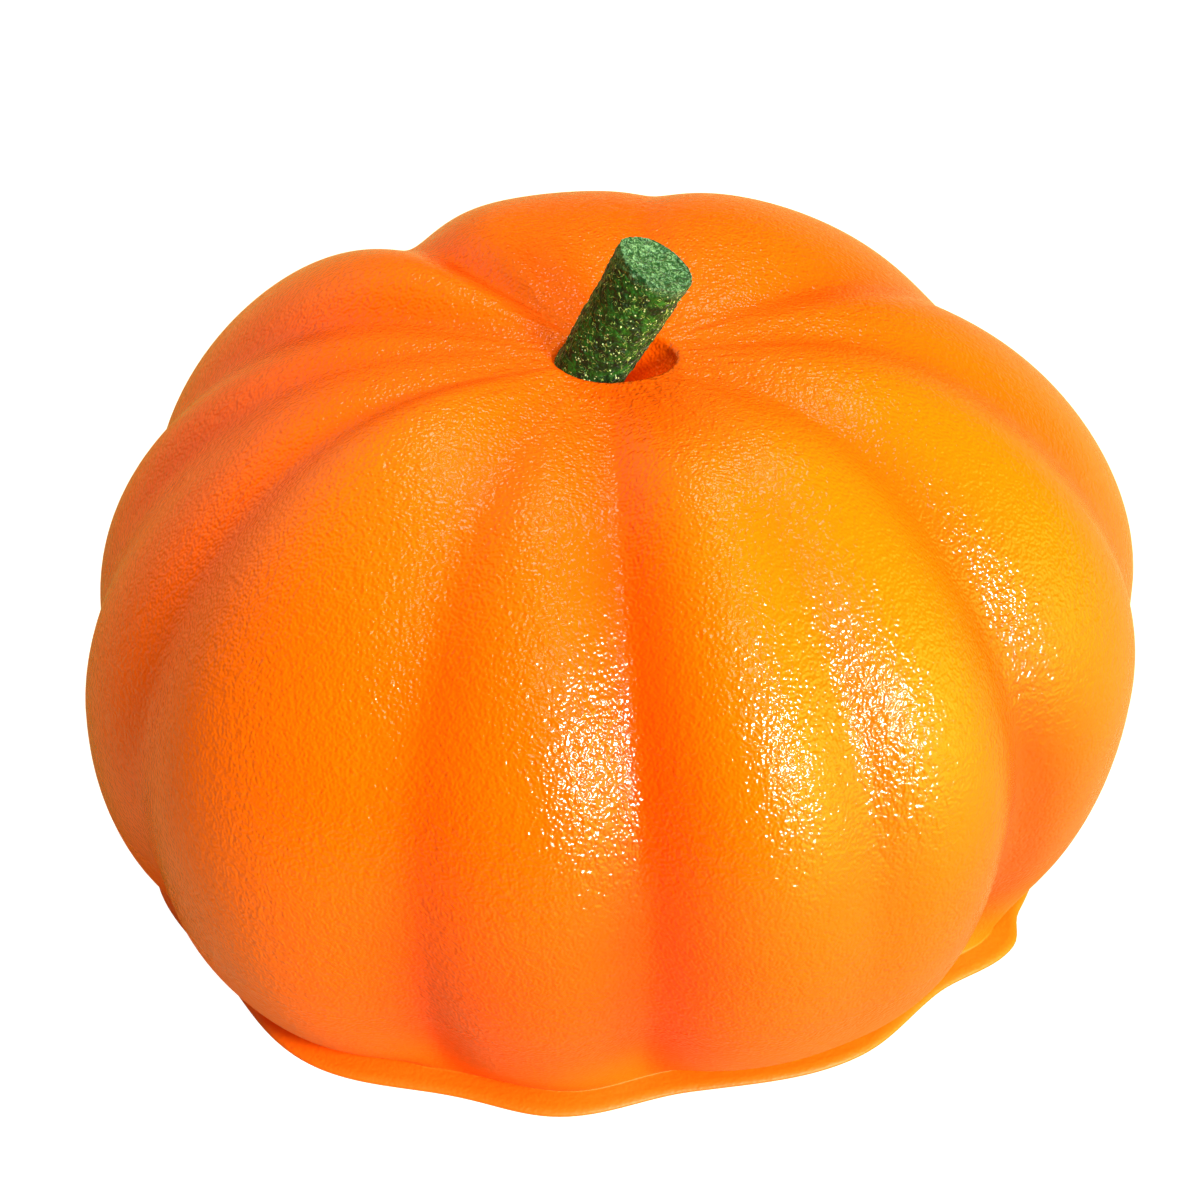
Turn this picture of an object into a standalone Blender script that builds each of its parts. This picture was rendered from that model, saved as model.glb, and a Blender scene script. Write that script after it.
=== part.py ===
"""A table-top pumpkin, moulded in one solid piece with a thin lip of flash round its foot.

The ribbed body is a turned form with grooves pressed into it. An oval socket is
sunk into its crown, and a round green stem stands leaning in a seat at the
bottom of that socket. Origin at the middle of the flat underside, +Z up, with
the front at -Y. Azimuths are in degrees, counter-clockwise from +X seen from above.
"""

import math
from collections import namedtuple

import bmesh
import bpy
from mathutils import Vector

MM = 0.001

# The plain turned form: a waist, with half a superellipse above it and half below it
RADIUS = 55.4 * MM
WAIST_HEIGHT = 23.8 * MM
UPPER_RISE = 40.8 * MM
UPPER_FULLNESS = 1.94
LOWER_DROP = 42.3 * MM
LOWER_FULLNESS = 2.23
DIMPLE_DEPTH = 7.7 * MM
DIMPLE_RADIUS = 16.4 * MM

# Grooves between the ribs. Each fades out towards the crown, where it also leans sideways by an
# angle, and has one depth near the crown, one on the shoulder and one below the waist. The swells
# are how far the rib on the clockwise side of the groove stands out above and below the waist.
Groove = namedtuple(
    "Groove", "azimuth lean crown_depth shoulder_depth foot_depth half_width swell foot_swell"
)
GROOVES = (
    Groove(-86, -5, 5.5 * MM, 6.5 * MM, 5.5 * MM, 7.5, 2.5 * MM, 1.0 * MM),
    Groove(-111, -13, 3.5 * MM, 3.0 * MM, 4.5 * MM, 7.0, 3.0 * MM, 3.5 * MM),
    Groove(-148, -25, 3.5 * MM, 2.5 * MM, 3.5 * MM, 7.5, 1.5 * MM, 3.5 * MM),
    Groove(-175, -15, 3.5 * MM, 4.0 * MM, 4.0 * MM, 10.0, 2.0 * MM, 2.5 * MM),
    Groove(-197, -5, 4.5 * MM, 4.5 * MM, 4.0 * MM, 9.0, 2.0 * MM, 1.5 * MM),
    Groove(-245, 45, 5.5 * MM, 5.5 * MM, 4.5 * MM, 10.5, 1.5 * MM, 1.5 * MM),
    Groove(-275, -5, 2.0 * MM, 2.0 * MM, 3.5 * MM, 6.0, 1.5 * MM, 1.5 * MM),
    Groove(-320, -20, 4.0 * MM, 4.5 * MM, 4.0 * MM, 12.5, 1.5 * MM, 4.0 * MM),
    Groove(-362, 10, 3.5 * MM, 4.0 * MM, 3.5 * MM, 10.0, 3.5 * MM, 0.5 * MM),
    Groove(-398, 10, 4.0 * MM, 6.0 * MM, 6.5 * MM, 8.0, 4.5 * MM, 0.5 * MM),
)
FURROW = Groove(-62, 0, 1.5 * MM, 3.5 * MM, 0.5 * MM, 6.0, 0.0, 0.0)
GROOVE_SHARPNESS = 1.75  # power of the distance across a groove, where 2 would be a round bottom
RIB_FADE_RADIUS = 0.48  # of RADIUS, inside which the ribs die out towards the crown
CROWN_WIDENING = 0.66  # power of the distance from the axis by which grooves widen inwards
NARROWEST_SHARE = 0.12
CROWN_TURN = 25.0  # turns from the crown, in degrees, between which one depth gives way to the next
SHOULDER_TURN = 60.0
FOOT_TURN = 110.0
SWELL_TURN = 50.0

# The foot: the skin turns in at a knee under the ribs, or sweeps out of the grooves, to a crease,
# from which the lip runs out to LIP_EDGE. Each size has a value for ribs and one for deep grooves.
FOOT_HEIGHT = (13.0 * MM, 9.5 * MM)
KNEE_HEIGHT = (3.0 * MM, 3.4 * MM)
CREASE_REACH = (3.6 * MM, 2.7 * MM)
CREASE_HEIGHT = (0.8 * MM, 0.6 * MM)
CREASE_SHARE = 5.0 / 7.0
DEEP_GROOVE = 3.5 * MM
LIP_THICKNESS = 0.5 * MM
LIP_EDGE = (
    (-127, 51.0 * MM),
    (-107, 48.0 * MM),
    (-98, 48.5 * MM),
    (-80, 45.5 * MM),
    (-59, 47.0 * MM),
    (-44, 45.5 * MM),
    (-31, 48.0 * MM),
    (-25, 46.5 * MM),
    (-4, 46.5 * MM),
    (18, 49.0 * MM),
    (40, 46.5 * MM),
    (62, 49.0 * MM),
    (85, 47.5 * MM),
    (100, 48.5 * MM),
    (115, 46.5 * MM),
    (140, 50.0 * MM),
    (162, 48.0 * MM),
    (175, 49.5 * MM),
    (187, 48.0 * MM),
    (200, 50.0 * MM),
    (215, 49.0 * MM),
)

# How finely the body is divided
SIDES = 108
UPPER_ROWS = 14
LOWER_ROWS = 9
LIP_ROWS = 7

# The stem: a cut round rod, leaning to the right and a little away from the front
STEM_RADIUS_TOP = 4.0 * MM
STEM_RADIUS_BOTTOM = 3.25 * MM
STEM_LENGTH = 21.0 * MM
STEM_SHOWING = 12.3 * MM
STEM_LEAN = 27.5
STEM_LEAN_AZIMUTH = 5.0
STEM_AT_RIM = Vector((-1.5 * MM, -0.6 * MM, 56.7 * MM))
STEM_EDGE = 0.35 * MM
STEM_SIDES = 36

# The socket: an oval funnel at the crown, and the seat that holds the stem
FUNNEL_CENTRE = Vector((0.2 * MM, -0.4 * MM, 56.7 * MM))
FUNNEL_RIM = (5.8 * MM, 3.9 * MM)
FUNNEL_DEPTH = 8.0 * MM
FUNNEL_ABOVE = 6.0 * MM
FUNNEL_TAPER = 0.12  # how much narrower it gets for each millimetre of depth, in millimetres
FUNNEL_SIDES = 32
CLEARANCE = 0.3 * MM

SKIN_COLOUR = (1.0, 0.20, 0.005, 1.0)
STEM_COLOUR = (0.05, 0.13, 0.02, 1.0)


def eased(value):
    """Zero to one, with a soft start and end."""
    value = min(max(value, 0.0), 1.0)
    return value * value * (3.0 - 2.0 * value)


def between(azimuth, stations):
    """A value at any azimuth, eased from each (azimuth, value) station to the next round the circle."""
    ring = sorted((station % 360.0, value) for station, value in stations)
    ring = [(ring[-1][0] - 360.0, ring[-1][1])] + ring + [(ring[0][0] + 360.0, ring[0][1])]
    azimuth %= 360.0
    for (start, first), (end, second) in zip(ring, ring[1:]):
        if start <= azimuth < end:
            share = (1.0 - math.cos(math.pi * (azimuth - start) / (end - start))) / 2.0
            return first + (second - first) * share
    raise ValueError(f"azimuth {azimuth} is outside the ring")


def mixed(sizes, share):
    """A size between the one for ribs and the one for deep grooves."""
    return sizes[0] + (sizes[1] - sizes[0]) * share


def rib_stations(swells):
    """The middle of each rib, with how far it stands out."""
    azimuths = [groove.azimuth for groove in GROOVES] + [GROOVES[0].azimuth - 360]
    middles = [(azimuth + following) / 2.0 for azimuth, following in zip(azimuths, azimuths[1:])]
    return list(zip(middles, swells))


LEANS = [(groove.azimuth, groove.lean) for groove in GROOVES]
SWELLS = rib_stations([groove.swell for groove in GROOVES])
FOOT_SWELLS = rib_stations([groove.foot_swell for groove in GROOVES])


def relief(azimuth, turn, widening):
    """How far the skin stands out from the turned form, before it fades at the crown."""
    crown_share = eased((SHOULDER_TURN - turn) / (SHOULDER_TURN - CROWN_TURN))
    foot_share = eased((turn - SHOULDER_TURN) / (FOOT_TURN - SHOULDER_TURN))
    swell_share = eased((turn - SWELL_TURN) / (FOOT_TURN - SWELL_TURN))
    upper, lower = between(azimuth, SWELLS), between(azimuth, FOOT_SWELLS)
    height = upper + (lower - upper) * swell_share
    for groove in GROOVES + (FURROW,):
        depth = groove.shoulder_depth
        depth += (groove.crown_depth - groove.shoulder_depth) * crown_share
        depth += (groove.foot_depth - groove.shoulder_depth) * foot_share
        away = (azimuth - groove.azimuth + 180.0) % 360.0 - 180.0
        share = abs(away / (groove.half_width * widening))
        height -= depth / (1.0 + share**GROOVE_SHARPNESS)
    return height


def skin(azimuth, turn):
    """Distance from the axis and height of the skin, at a turn of 0 at the crown to 180 below."""
    across = abs(math.sin(math.radians(turn)))
    along = abs(math.cos(math.radians(turn)))
    if turn <= 90.0:
        share = across ** (2.0 / UPPER_FULLNESS)
        height = UPPER_RISE * along ** (2.0 / UPPER_FULLNESS)
        azimuth -= between(azimuth, LEANS) * (1.0 - share)
        widening = max(share, NARROWEST_SHARE) ** -CROWN_WIDENING
        growth = 1.0 + relief(azimuth, turn, widening) * eased(share / RIB_FADE_RADIUS) / RADIUS
        radius = RADIUS * share * growth
        dimple = DIMPLE_DEPTH * math.exp(-((radius / DIMPLE_RADIUS) ** 2))
        return radius, WAIST_HEIGHT + height * growth - dimple
    share = across ** (2.0 / LOWER_FULLNESS)
    growth = 1.0 + relief(azimuth, turn, 1.0) / RADIUS
    height = LOWER_DROP * along ** (2.0 / LOWER_FULLNESS)
    return RADIUS * share * growth, WAIST_HEIGHT - height * growth


def turn_at(azimuth, height):
    """The turn at which the skin comes down to a height below the waist."""
    growth = 1.0 + relief(azimuth, 180.0, 1.0) / RADIUS
    drop = (WAIST_HEIGHT - height) / (LOWER_DROP * growth)
    return 180.0 - math.degrees(math.acos(drop ** (LOWER_FULLNESS / 2.0)))


def lip_point(azimuth, share):
    """A point of the foot's curve, where share runs from 0 at its top to 1 at the lip's edge."""
    deep = eased(-relief(azimuth, 180.0, 1.0) / DEEP_GROOVE)
    edge = between(azimuth, LIP_EDGE)
    crease, crease_height = edge - mixed(CREASE_REACH, deep), mixed(CREASE_HEIGHT, deep)
    if share >= CREASE_SHARE:
        out = (share - CREASE_SHARE) / (1.0 - CREASE_SHARE)
        return crease + (edge - crease) * out, crease_height + (LIP_THICKNESS - crease_height) * out
    turn = turn_at(azimuth, mixed(FOOT_HEIGHT, deep))
    radius, height = skin(azimuth, turn)
    radius_above, height_above = skin(azimuth, turn - 1.0)
    slope = (radius_above - radius) / (height_above - height)
    knee_height = mixed(KNEE_HEIGHT, deep)
    knee = radius - slope * (height - knee_height)
    along = share / CREASE_SHARE
    first, middle, last = (1.0 - along) ** 2, 2.0 * (1.0 - along) * along, along**2
    return (
        radius * first + knee * middle + crease * last,
        height * first + knee_height * middle + crease_height * last,
    )


def row_point(row, azimuth):
    """Distance from the axis and height of one row of the body, numbered from the crown down."""
    if row <= UPPER_ROWS:
        return skin(azimuth, 90.0 * row / UPPER_ROWS)
    row -= UPPER_ROWS
    if row <= LOWER_ROWS:
        deep = eased(-relief(azimuth, 180.0, 1.0) / DEEP_GROOVE)
        end = turn_at(azimuth, mixed(FOOT_HEIGHT, deep))
        return skin(azimuth, 90.0 + (end - 90.0) * row / LOWER_ROWS)
    row -= LOWER_ROWS
    if row <= LIP_ROWS:
        return lip_point(azimuth, row / LIP_ROWS)
    return (between(azimuth, LIP_EDGE), 0.0) if row == LIP_ROWS + 1 else (0.0, 0.0)


def new_object(name, mesh, collection):
    obj = bpy.data.objects.new(name, mesh)
    collection.objects.link(obj)
    return obj


def new_material(name, colour, roughness):
    material = bpy.data.materials.new(name)
    material.use_nodes = True
    shader = material.node_tree.nodes["Principled BSDF"]
    shader.inputs["Base Color"].default_value = colour
    shader.inputs["Roughness"].default_value = roughness
    shader.inputs["Metallic"].default_value = 0.0
    return material


def make_body(collection):
    """A sphere whose rows of vertices are moved out to the ribbed skin, the foot and the lip."""
    rows = UPPER_ROWS + LOWER_ROWS + LIP_ROWS + 2
    mesh = bpy.data.meshes.new("pumpkin_body")
    bm = bmesh.new()
    bmesh.ops.create_uvsphere(bm, u_segments=SIDES, v_segments=rows, radius=1.0)
    for vert in bm.verts:
        azimuth = math.degrees(math.atan2(vert.co.y, vert.co.x))
        row = round(math.degrees(math.acos(min(max(vert.co.z, -1.0), 1.0))) * rows / 180.0)
        radius, height = row_point(row, azimuth)
        angle = math.radians(azimuth)
        vert.co = (radius * math.cos(angle), radius * math.sin(angle), height)
    bm.to_mesh(mesh)
    bm.free()
    mesh.shade_smooth()
    mesh.set_sharp_from_angle(angle=math.radians(50.0))
    mesh.materials.append(new_material("moulded_skin", SKIN_COLOUR, 0.38))
    return new_object("pumpkin_body", mesh, collection)


def rod_mesh(name, extra_radius, length):
    """A rod that widens a little from its bottom to its top, this much wider than the stem."""
    bottom, top = STEM_RADIUS_BOTTOM + extra_radius, STEM_RADIUS_TOP + extra_radius
    mesh = bpy.data.meshes.new(name)
    bm = bmesh.new()
    bmesh.ops.create_cone(
        bm, cap_ends=True, segments=STEM_SIDES, radius1=bottom, radius2=top, depth=length
    )
    bm.to_mesh(mesh)
    bm.free()
    return mesh


def stem_direction():
    lean = math.radians(STEM_LEAN)
    azimuth = math.radians(STEM_LEAN_AZIMUTH)
    return Vector(
        (math.sin(lean) * math.cos(azimuth), math.sin(lean) * math.sin(azimuth), math.cos(lean))
    )


def stand_on_stem_axis(obj, middle):
    """Turns a rod to the stem's lean, with its middle this far up the axis from the rim."""
    direction = stem_direction()
    obj.rotation_euler = direction.to_track_quat("Z", "Y").to_euler()
    obj.location = STEM_AT_RIM + direction * middle


def make_stem(collection):
    mesh = rod_mesh("stem", 0.0, STEM_LENGTH)
    mesh.shade_smooth()
    mesh.set_sharp_from_angle(angle=math.radians(50.0))
    mesh.materials.append(new_material("green_stem", STEM_COLOUR, 0.8))
    stem = new_object("stem", mesh, collection)
    stand_on_stem_axis(stem, STEM_SHOWING - STEM_LENGTH / 2.0)
    edge = stem.modifiers.new("softened_rims", "BEVEL")
    edge.width = STEM_EDGE
    edge.segments = 1
    edge.limit_method = "ANGLE"
    edge.angle_limit = math.radians(50.0)
    return stem


def hide_cutter(obj):
    obj.hide_render = True
    obj.display_type = "WIRE"


def make_funnel_cutter(collection):
    """An oval frustum from above the crown down to the bottom of the socket's open part."""
    length = FUNNEL_ABOVE + FUNNEL_DEPTH
    across, front_to_back = FUNNEL_RIM
    below = 1.0 - FUNNEL_TAPER * FUNNEL_DEPTH / across
    above = 1.0 + FUNNEL_TAPER * FUNNEL_ABOVE / across
    mesh = bpy.data.meshes.new("socket_funnel")
    bm = bmesh.new()
    bmesh.ops.create_cone(
        bm, cap_ends=True, segments=FUNNEL_SIDES, radius1=below, radius2=above, depth=length
    )
    bmesh.ops.scale(bm, vec=(across, front_to_back, 1.0), verts=bm.verts)
    bm.to_mesh(mesh)
    bm.free()
    cutter = new_object("socket_funnel", mesh, collection)
    cutter.location = FUNNEL_CENTRE + Vector((0.0, 0.0, FUNNEL_ABOVE - length / 2.0))
    hide_cutter(cutter)
    return cutter


def make_seat_cutter(collection):
    """A rod on the stem's axis, a clearance wider than the stem and a clearance deeper."""
    length = STEM_LENGTH + CLEARANCE
    mesh = rod_mesh("stem_seat", CLEARANCE, length)
    cutter = new_object("stem_seat", mesh, collection)
    stand_on_stem_axis(cutter, STEM_SHOWING - length / 2.0)
    hide_cutter(cutter)
    return cutter


def cut(obj, cutter):
    boolean = obj.modifiers.new(cutter.name, "BOOLEAN")
    boolean.operation = "DIFFERENCE"
    boolean.solver = "EXACT"
    boolean.object = cutter


def new_collection(name):
    collection = bpy.data.collections.new(name)
    bpy.context.scene.collection.children.link(collection)
    return collection


def main():
    for obj in list(bpy.data.objects):
        bpy.data.objects.remove(obj, do_unlink=True)
    parts = new_collection("pumpkin")
    cutters = new_collection("cutters")
    body = make_body(parts)
    make_stem(parts)
    cut(body, make_funnel_cutter(cutters))
    cut(body, make_seat_cutter(cutters))


main()
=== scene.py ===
import math

import bpy
import numpy as np
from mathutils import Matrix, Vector, noise


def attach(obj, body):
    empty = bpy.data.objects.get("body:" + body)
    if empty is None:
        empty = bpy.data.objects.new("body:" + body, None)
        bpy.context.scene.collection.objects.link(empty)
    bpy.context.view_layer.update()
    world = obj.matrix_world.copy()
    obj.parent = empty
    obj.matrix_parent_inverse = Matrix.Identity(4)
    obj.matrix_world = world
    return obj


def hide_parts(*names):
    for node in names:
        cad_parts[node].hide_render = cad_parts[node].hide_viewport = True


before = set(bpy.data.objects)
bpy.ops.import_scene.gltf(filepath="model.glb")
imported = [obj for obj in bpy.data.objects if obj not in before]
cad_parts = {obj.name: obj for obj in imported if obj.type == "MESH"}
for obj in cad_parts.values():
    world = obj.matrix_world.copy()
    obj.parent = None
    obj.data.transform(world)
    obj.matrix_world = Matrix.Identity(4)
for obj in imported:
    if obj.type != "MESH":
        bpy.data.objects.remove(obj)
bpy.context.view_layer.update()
bpy.ops.object.select_all(action="DESELECT")
bpy.context.scene.view_settings.view_transform = "Standard"

# Camera
# It stands in front and looks down on the crown at about 40 degrees, from 36 cm away,
# through a long lens.
CAMERA_PLACE = (0.0, -0.2806, 0.2592)
CAMERA_AIM = (-0.0013, 0.0, 0.0254)
CAMERA_LENS = 106.2

bpy.ops.object.camera_add(location=CAMERA_PLACE)
camera = bpy.context.object
camera.name = "camera"
camera.data.lens = CAMERA_LENS
camera.data.sensor_width = 36.0
camera.data.clip_start = 0.01
camera.rotation_euler = (Vector(CAMERA_AIM) - camera.location).to_track_quat("-Z", "Y").to_euler()
bpy.context.scene.camera = camera

# Table
# One plain sheet, warm white, that runs out past the picture on every side. A little glow of its
# own, for the camera alone, keeps it white out to the horizon.
TABLE_SIZE = 6.0
TABLE_COLOUR = (0.5, 0.4, 0.2, 1.0)
TABLE_ROUGHNESS = 0.9
TABLE_GLOW = 1.0

bpy.ops.mesh.primitive_plane_add(size=TABLE_SIZE)
table = bpy.context.object
table.name = "table"
table_finish = bpy.data.materials.new("white_table")
table_finish.use_nodes = True
table_nodes, table_links = table_finish.node_tree.nodes, table_finish.node_tree.links
table_shader = table_nodes["Principled BSDF"]
table_shader.inputs["Base Color"].default_value = TABLE_COLOUR
table_shader.inputs["Roughness"].default_value = TABLE_ROUGHNESS
table_shader.inputs["Emission Color"].default_value = (1.0, 1.0, 1.0, 1.0)
table_seen = table_nodes.new("ShaderNodeLightPath")
table_glow = table_nodes.new("ShaderNodeMath")
table_glow.operation = "MULTIPLY"
table_glow.inputs[1].default_value = TABLE_GLOW
table_links.new(table_seen.outputs["Is Camera Ray"], table_glow.inputs[0])
table_links.new(table_glow.outputs["Value"], table_shader.inputs["Emission Strength"])
table.data.materials.append(table_finish)

# Studio light
# A small white softbox at the front right gives the bright patch of gloss on every rib, two weak
# ones overhead the sparks on the shoulders and the crown, and a large one behind a pale sheen.
# Large warm ones fill in the rest, so what they add to the gloss stays orange. The room is dim.
ROOM_GLOW = (0.08, 0.06, 0.03, 1.0)
ROOM_GLOW_IN_GLOSS = (0.25, 0.15, 0.02, 1.0)
BACKDROP_WHITE = (1.0, 1.0, 1.0, 1.0)
LIGHT_AIM = Vector((0.0, 0.0, 0.03))
LIGHT_DISTANCE = 0.8
KEY_SIZE = 0.17
TOP_KEY_SIZE = 0.2
SHEEN_SIZE = 0.7
LOW_FILL_SIZE = 0.6
KEY_COLOUR = (1.0, 1.0, 1.0)
FILL_COLOUR = (1.0, 0.75, 0.08)
FILL_SIZE = 0.9


def softbox(name, azimuth, elevation, power, size=FILL_SIZE, colour=FILL_COLOUR):
    """A square area light facing the pumpkin, placed by its direction as seen from there."""
    around = math.radians(azimuth)
    up = math.radians(elevation)
    way = Vector((math.cos(around) * math.cos(up), math.sin(around) * math.cos(up), math.sin(up)))
    bpy.ops.object.light_add(type="AREA", location=LIGHT_AIM + way * LIGHT_DISTANCE)
    light = bpy.context.object
    light.name = name
    light.data.size = size
    light.data.energy = power
    light.data.color = colour
    light.rotation_euler = way.to_track_quat("Z", "Y").to_euler()


softbox("front_key", azimuth=-50, elevation=29, power=9.0, size=KEY_SIZE, colour=KEY_COLOUR)
softbox("overhead_key", azimuth=-65, elevation=62, power=0.7, size=TOP_KEY_SIZE, colour=KEY_COLOUR)
softbox("back_sheen", azimuth=140, elevation=14, power=0.4, size=SHEEN_SIZE, colour=KEY_COLOUR)
softbox("top_key", azimuth=80, elevation=65, power=0.8, size=TOP_KEY_SIZE, colour=KEY_COLOUR)
softbox("low_front_fill", azimuth=-36, elevation=8, power=5.2, size=LOW_FILL_SIZE)
softbox("low_right_fill", azimuth=-5, elevation=8, power=4.0, size=LOW_FILL_SIZE)
softbox("front_right_fill", azimuth=-25, elevation=20, power=1.9)
softbox("right_fill", azimuth=50, elevation=30, power=0.8)
softbox("back_fill", azimuth=120, elevation=35, power=1.8)
softbox("left_fill", azimuth=180, elevation=10, power=0.9)
softbox("overhead_front_fill", azimuth=-40, elevation=65, power=1.2)
softbox("overhead_right_fill", azimuth=30, elevation=65, power=0.8)
softbox("overhead_back_fill", azimuth=120, elevation=65, power=2.2)

room = bpy.data.worlds.new("dim_room")
room.use_nodes = True
room_nodes, room_links = room.node_tree.nodes, room.node_tree.links
ray = room_nodes.new("ShaderNodeLightPath")
gloss_colour = room_nodes.new("ShaderNodeMix")
gloss_colour.data_type = "RGBA"
gloss_colour.inputs[6].default_value = ROOM_GLOW
gloss_colour.inputs[7].default_value = ROOM_GLOW_IN_GLOSS
room_colour = room_nodes.new("ShaderNodeMix")
room_colour.data_type = "RGBA"
room_colour.inputs[7].default_value = BACKDROP_WHITE
room_links.new(ray.outputs["Is Glossy Ray"], gloss_colour.inputs[0])
room_links.new(gloss_colour.outputs[2], room_colour.inputs[6])
room_links.new(ray.outputs["Is Camera Ray"], room_colour.inputs[0])
room_links.new(room_colour.outputs[2], room_nodes["Background"].inputs["Color"])
bpy.context.scene.world = room

# Moulded body
# One solid casting in orange, with ribs, a flat underside, a thin lip of flash round its foot
# and an oval socket in its crown. A grid is wrapped round it and its rows moved to the casting's
# skin: from the bottom of the socket, over its rim and the ribs, to the lip and the underside.
MM = 0.001
BODY_RADIUS = 55.35 * MM
WAIST_HEIGHT = 23.8 * MM
UPPER_RISE = 40.8 * MM
UPPER_FULLNESS = 1.94
LOWER_DROP = 42.3 * MM
LOWER_FULLNESS = 2.23
DIMPLE_DEPTH = 7.7 * MM
DIMPLE_RADIUS = 16.4 * MM

# Each groove's azimuth and sideways lean near the crown in degrees, its depth near the crown, on
# the shoulder and at the foot in millimetres, its half width in degrees, and how far the rib on
# its clockwise side stands out above and below the waist in millimetres
GROOVES = (
    (-86, -5, 5.5, 6.5, 5.5, 7.5, 2.5, 1.0),
    (-111, -13, 3.5, 3.0, 4.5, 7.0, 3.0, 3.5),
    (-148, -25, 3.5, 2.5, 3.5, 7.5, 1.5, 3.5),
    (-175, -15, 3.5, 4.0, 4.0, 10.0, 2.0, 2.5),
    (-197, -5, 4.5, 4.5, 4.0, 9.0, 2.0, 1.5),
    (-245, 45, 5.5, 5.5, 4.5, 10.5, 1.5, 1.5),
    (-275, -5, 2.0, 2.0, 3.5, 6.0, 1.5, 1.5),
    (-320, -20, 4.0, 4.5, 4.0, 12.5, 1.5, 4.0),
    (-362, 10, 3.5, 4.0, 3.5, 10.0, 3.5, 0.5),
    (-398, 10, 4.0, 6.0, 6.5, 8.0, 4.5, 0.5),
)
FURROW = (-62, 0, 1.5, 3.5, 0.5, 6.0, 0.0, 0.0)
GROOVE_SHARPNESS = 1.75  # power of the distance across a groove, where 2 would be a round bottom
RIB_FADE_RADIUS = 0.48  # of BODY_RADIUS, inside which the ribs die out towards the crown
CROWN_WIDENING = 0.66  # power of the distance from the axis by which grooves widen inwards
NARROWEST_SHARE = 0.12
CROWN_TURN = 25.0  # turns from the crown, in degrees, between which one depth gives way to the next
SHOULDER_TURN = 60.0
FOOT_TURN = 110.0
SWELL_TURN = 50.0

# The lip's edge on the table, as azimuth in degrees and distance from the axis in millimetres
LIP_EDGE = (
    (-127, 51.0), (-107, 48.0), (-98, 48.5), (-80, 45.5), (-59, 47.0), (-44, 45.5), (-31, 48.0),
    (-25, 46.5), (-4, 46.5), (18, 49.0), (40, 46.5), (62, 49.0), (85, 47.5), (100, 48.5),
    (115, 46.5), (140, 50.0), (162, 48.0), (175, 49.5), (187, 48.0), (200, 50.0), (215, 49.0),
)
LIP_THICKNESS = 0.5 * MM
LIP_ROUNDING = 1.2 * MM  # sideways, over which the lip thins out to its edge

# The foot's curve turns in at a knee to a crease, from which the lip runs out. Each size has a
# value for the ribs and one for the deep grooves.
FOOT_HEIGHT = (13.0 * MM, 9.5 * MM)
KNEE_HEIGHT = (3.0 * MM, 3.4 * MM)
CREASE_REACH = (3.6 * MM, 2.7 * MM)
CREASE_HEIGHT = (0.8 * MM, 0.6 * MM)
CREASE_SHARE = 0.7
DEEP_GROOVE = 3.5

# The socket's oval rim, the round seat at its bottom, and the rounding of the rim
RIM_CENTRE = (0.2 * MM, -0.4 * MM)
RIM_HALF_SIZES = (5.8 * MM, 3.9 * MM)
RIM_ROUNDING = 0.8 * MM
RIM_BLEND_WIDTH = 8.0 * MM
SOCKET_DEPTH = 12.0 * MM

# How finely the body is divided, all round and down each part of it
BODY_SEGMENTS = 360
SEAT_ROWS = 6
WALL_ROWS = 16
ROUNDING_ROWS = 7
CROWN_ROWS = 22
UPPER_ROWS = 96
LOWER_ROWS = 70
LIP_ROWS = 40
EDGE_ROWS = 8
UNDER_ROWS = 12
MERGE_DISTANCE = 0.0005 * MM
CROWN_STEPS = 6


def eased(value):
    """Zero to one, with a soft start and end."""
    value = np.clip(value, 0.0, 1.0)
    return value * value * (3.0 - 2.0 * value)


def between(azimuth, stations):
    """Values at any azimuths, eased from each (azimuth, value) station to the next round the circle."""
    ring = sorted((station % 360.0, value) for station, value in stations)
    ring = [(ring[-1][0] - 360.0, ring[-1][1])] + ring + [(ring[0][0] + 360.0, ring[0][1])]
    places = np.array([station for station, value in ring])
    values = np.array([value for station, value in ring])
    azimuth = azimuth % 360.0
    index = np.clip(np.searchsorted(places, azimuth, side="right") - 1, 0, len(places) - 2)
    gone = (azimuth - places[index]) / (places[index + 1] - places[index])
    return values[index] + (values[index + 1] - values[index]) * (1.0 - np.cos(np.pi * gone)) / 2.0


def rib_stations(column):
    """The middle of each rib, with one of the values of the groove before it."""
    azimuths = [groove[0] for groove in GROOVES] + [GROOVES[0][0] - 360]
    middles = [(a + b) / 2.0 for a, b in zip(azimuths, azimuths[1:])]
    return list(zip(middles, [groove[column] for groove in GROOVES]))


def relief(azimuth, turn, widening):
    """How far the skin stands out from the turned form in millimetres, before it fades at the crown."""
    crown_share = eased((SHOULDER_TURN - turn) / (SHOULDER_TURN - CROWN_TURN))
    foot_share = eased((turn - SHOULDER_TURN) / (FOOT_TURN - SHOULDER_TURN))
    swell_share = eased((turn - SWELL_TURN) / (FOOT_TURN - SWELL_TURN))
    upper, lower = between(azimuth, rib_stations(6)), between(azimuth, rib_stations(7))
    height = upper + (lower - upper) * swell_share
    for place, lean, at_crown, at_shoulder, at_foot, half_width, swell, foot_swell in GROOVES + (FURROW,):
        depth = at_shoulder + (at_crown - at_shoulder) * crown_share + (at_foot - at_shoulder) * foot_share
        away = (azimuth - place + 180.0) % 360.0 - 180.0
        height = height - depth / (1.0 + np.abs(away / (half_width * widening)) ** GROOVE_SHARPNESS)
    return height


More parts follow.
